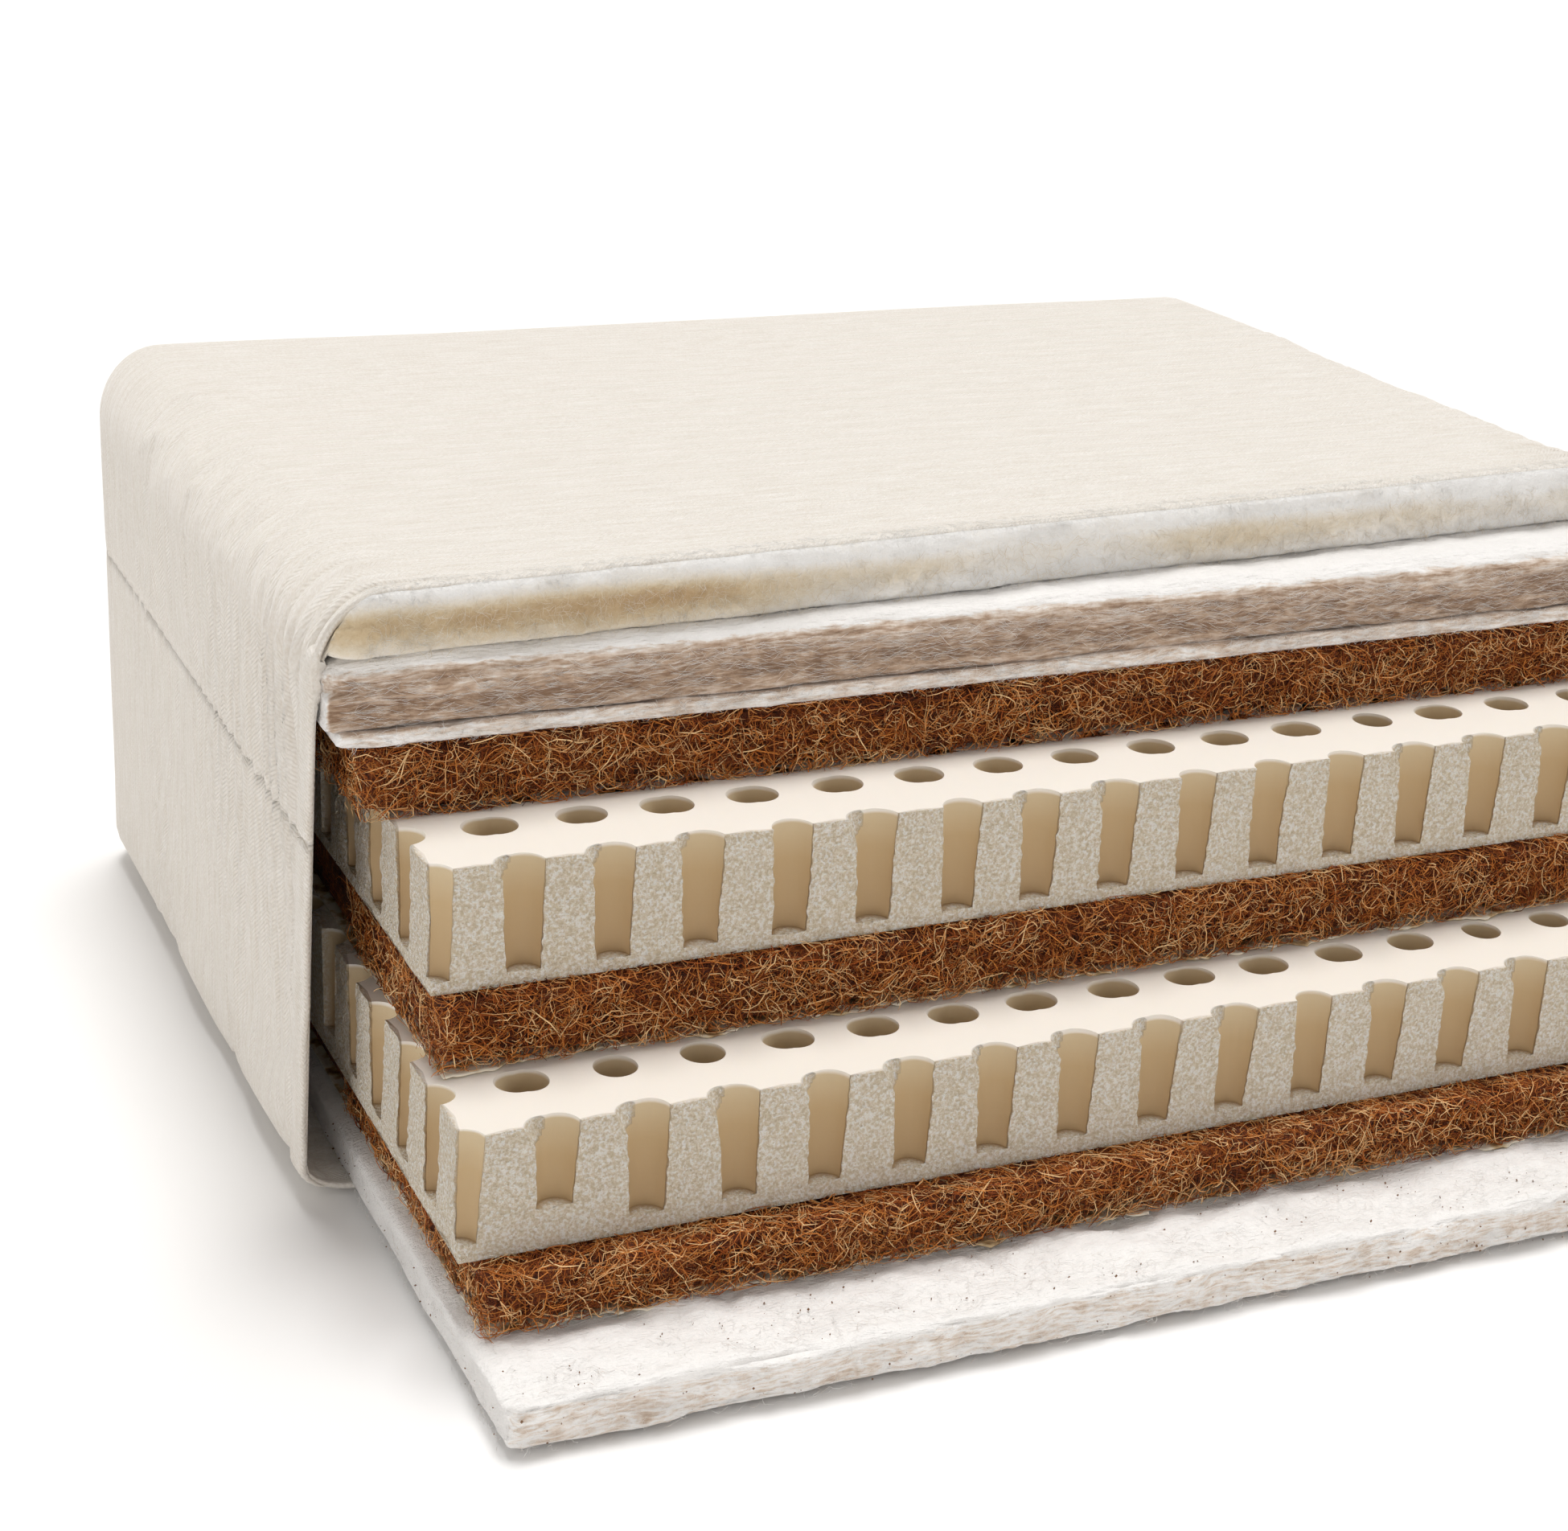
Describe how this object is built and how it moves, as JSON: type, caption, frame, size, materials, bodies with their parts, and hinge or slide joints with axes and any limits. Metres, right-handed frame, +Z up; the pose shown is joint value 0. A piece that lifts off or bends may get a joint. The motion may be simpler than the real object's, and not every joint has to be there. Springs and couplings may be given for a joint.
{
  "type": "layered latex mattress sample",
  "caption": "Cut-away block of a natural mattress: cotton cover, wool, cotton, coir and pin-core latex layers, each stepped forward of the one above.",
  "frame": {"origin": "middle of the block's outline at the ground", "axes": "+X along the block, left to right seen from the cut front; -Y towards the cut, stepped front; +Z up"},
  "size_m": [0.5284, 0.495, 0.2245],
  "materials": {
    "ticking": "unbleached cotton twill, raised surface",
    "wool": "needled wool fleece",
    "cotton": "carded cotton batting",
    "coir": "rubberised coconut fibre",
    "latex": "moulded latex foam",
    "film": "dried latex glue"
  },
  "bodies": {
    "root": {"cover_upper": "ticking", "cover_lower": "ticking", "seam_tape": "ticking", "hem_top": "ticking", "hem_left_upper": "ticking", "hem_left_lower": "ticking", "hem_right_upper": "ticking", "hem_right_lower": "ticking", "wool_layer": "wool", "cotton_upper": "cotton", "cotton_upper_ply": "cotton", "coir_upper": "coir", "latex_upper": "latex", "bond_middle": "film", "coir_middle": "coir", "latex_lower": "latex", "bond_lower": "film", "coir_lower": "coir", "cotton_lower": "cotton"}
  },
  "joints": []
}
